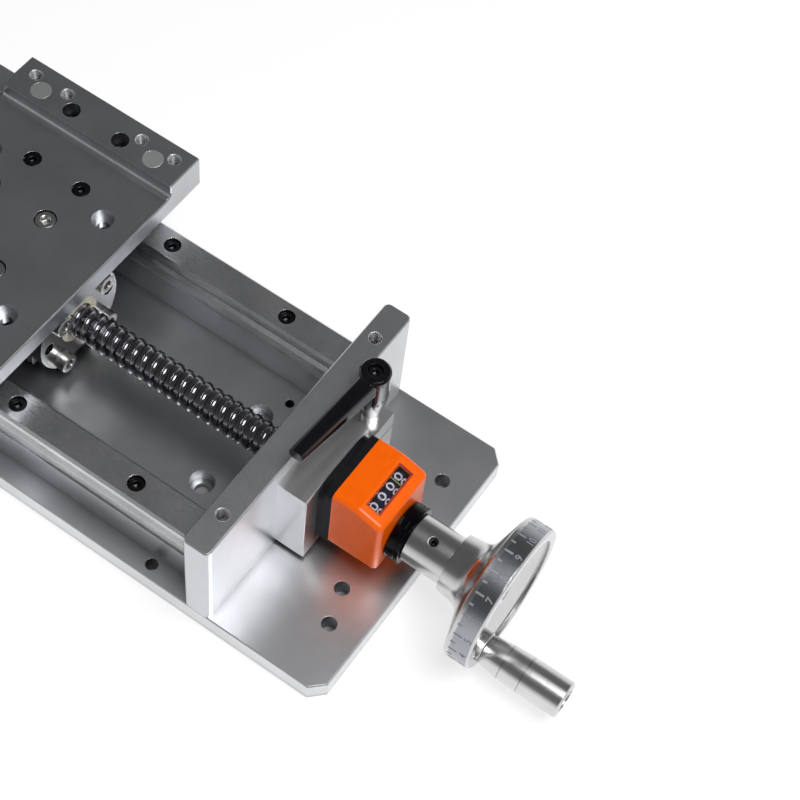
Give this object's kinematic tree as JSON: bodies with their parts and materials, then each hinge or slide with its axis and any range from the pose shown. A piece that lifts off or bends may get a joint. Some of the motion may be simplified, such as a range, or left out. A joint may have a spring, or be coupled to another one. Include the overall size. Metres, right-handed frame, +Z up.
{
  "type": "cross slide table axis",
  "caption": "Hand-driven ball-screw slide with grooved table on profile rails, end plates, clamp lever, orange position indicator, handwheel and crank.",
  "frame": {"origin": "centre of the rectangle of base bolts on the bottom face of the base plate, midway between the end plates", "axes": "+Z up, +X along the screw towards the handwheel, +Y across the slide to the clamp lever's side"},
  "size_m": [0.3513, 0.15, 0.0806],
  "materials": {
    "plate_aluminium": "ground and clear anodised, satin",
    "block_aluminium": "milled, satin",
    "turned_aluminium": "turned, fine rings",
    "rail_steel": "ground bearing steel",
    "screw_steel": "rolled and polished",
    "bearing_steel": "ground",
    "dark_fastener": "black oxide",
    "bright_fastener": "bright stainless",
    "lever_black": "black powder coat, semi-gloss",
    "foam": "closed-cell foam",
    "black_plastic": "moulded, fine grain",
    "seal_rubber": "matte",
    "orange_plastic": "moulded, satin gloss",
    "clear_lens": "clear",
    "drum_plastic": "moulded",
    "cream_plastic": "moulded"
  },
  "bodies": {
    "base": {"base_plate": "plate_aluminium", "front_end_plate": "plate_aluminium", "rear_end_plate": "plate_aluminium", "end_plate_screws": "dark_fastener", "bar_screws": "dark_fastener", "rail_screws": "dark_fastener", "support_bar_near": "plate_aluminium", "support_bar_far": "plate_aluminium", "rail_near": "rail_steel", "rail_far": "rail_steel", "front_bearing_outer_ring": "bearing_steel", "rear_bearing_outer_ring": "bearing_steel", "bearing_shields": "bearing_steel", "clamp_block": "block_aluminium", "clamp_block_screws": "dark_fastener", "indicator_gasket": "foam", "indicator_back_plate": "black_plastic", "indicator_housing": "orange_plastic", "indicator_lens": "clear_lens", "drum_axle": "bearing_steel"},
    "table": {"table_plate": "plate_aluminium", "guide_block_near": "rail_steel", "guide_block_far": "rail_steel", "guide_end_caps": "black_plastic", "guide_end_seals": "seal_rubber", "guide_block_screws": "dark_fastener", "bracket_screws": "bright_fastener", "hole_plugs": "bright_fastener", "nut_bracket": "block_aluminium", "ball_nut": "screw_steel", "nut_wipers": "cream_plastic", "nut_screws": "bright_fastener"},
    "spindle": {"ball_screw": "screw_steel", "front_bearing_inner_ring": "bearing_steel", "rear_bearing_inner_ring": "bearing_steel", "rear_retaining_ring": "bearing_steel", "bearing_lock_nut": "dark_fastener", "indicator_hollow_shaft": "black_plastic", "collar_set_screw": "dark_fastener", "spacer_sleeve": "turned_aluminium", "sleeve_set_screw": "dark_fastener", "handwheel": "turned_aluminium", "wheel_washer": "bright_fastener", "wheel_screw": "bright_fastener", "crank_axle": "bright_fastener"},
    "crank": {"crank_handle": "turned_aluminium"},
    "clamp_stud": {"lever_stud": "bright_fastener", "lever_screw": "dark_fastener", "lever_spring": "bearing_steel"},
    "clamp_handle": {"lever_handle": "lever_black"},
    "drum_1": {"digit_drum_1": "drum_plastic"},
    "drum_2": {"digit_drum_2": "drum_plastic"},
    "drum_3": {"digit_drum_3": "drum_plastic"},
    "drum_4": {"digit_drum_4": "drum_plastic"}
  },
  "joints": [
    {"name": "spindle_turn", "type": "hinge", "parent": "base", "child": "spindle", "pos_m": [0, 0, 0.035], "axis": [1, 0, 0], "range_deg": [-7200, 0]},
    {"name": "table_slide", "type": "slide", "parent": "base", "child": "table", "axis": [1, 0, 0], "range_m": [0, 0.1]},
    {"name": "crank_spin", "type": "hinge", "parent": "spindle", "child": "crank", "pos_m": [0.225, -0.01478, 0.01609], "axis": [1, 0, 0], "continuous": true},
    {"name": "lever_turn", "type": "hinge", "parent": "base", "child": "clamp_stud", "pos_m": [0.116, 0.0297, 0.0445], "axis": [0, 0, 1], "range_deg": [0, 90]},
    {"name": "lever_lift", "type": "slide", "parent": "clamp_stud", "child": "clamp_handle", "axis": [0, 0, 1], "range_m": [0, 0.004], "stiffness_N_per_m": 800, "springref_m": -0.005, "deforming": ["lever_spring"]},
    {"name": "drum_1_turn", "type": "hinge", "parent": "base", "child": "drum_1", "pos_m": [0.14262, -0.00915, 0.05106], "axis": [0, 1, 0], "range_deg": [0, 36]},
    {"name": "drum_2_turn", "type": "hinge", "parent": "base", "child": "drum_2", "pos_m": [0.14262, -0.00365, 0.05106], "axis": [0, 1, 0], "range_deg": [0, 360]},
    {"name": "drum_3_turn", "type": "hinge", "parent": "base", "child": "drum_3", "pos_m": [0.14262, 0.00185, 0.05106], "axis": [0, 1, 0], "range_deg": [0, 3600]},
    {"name": "drum_4_turn", "type": "hinge", "parent": "base", "child": "drum_4", "pos_m": [0.14262, 0.00735, 0.05106], "axis": [0, 1, 0], "range_deg": [0, 36000]}
  ],
  "couplings": [
    {"joint": "table_slide", "follows": "spindle_turn", "m_per_rad": -0.00079577},
    {"joint": "drum_1_turn", "follows": "spindle_turn", "ratio": -0.005},
    {"joint": "drum_2_turn", "follows": "spindle_turn", "ratio": -0.05},
    {"joint": "drum_3_turn", "follows": "spindle_turn", "ratio": -0.5},
    {"joint": "drum_4_turn", "follows": "spindle_turn", "ratio": -5}
  ]
}
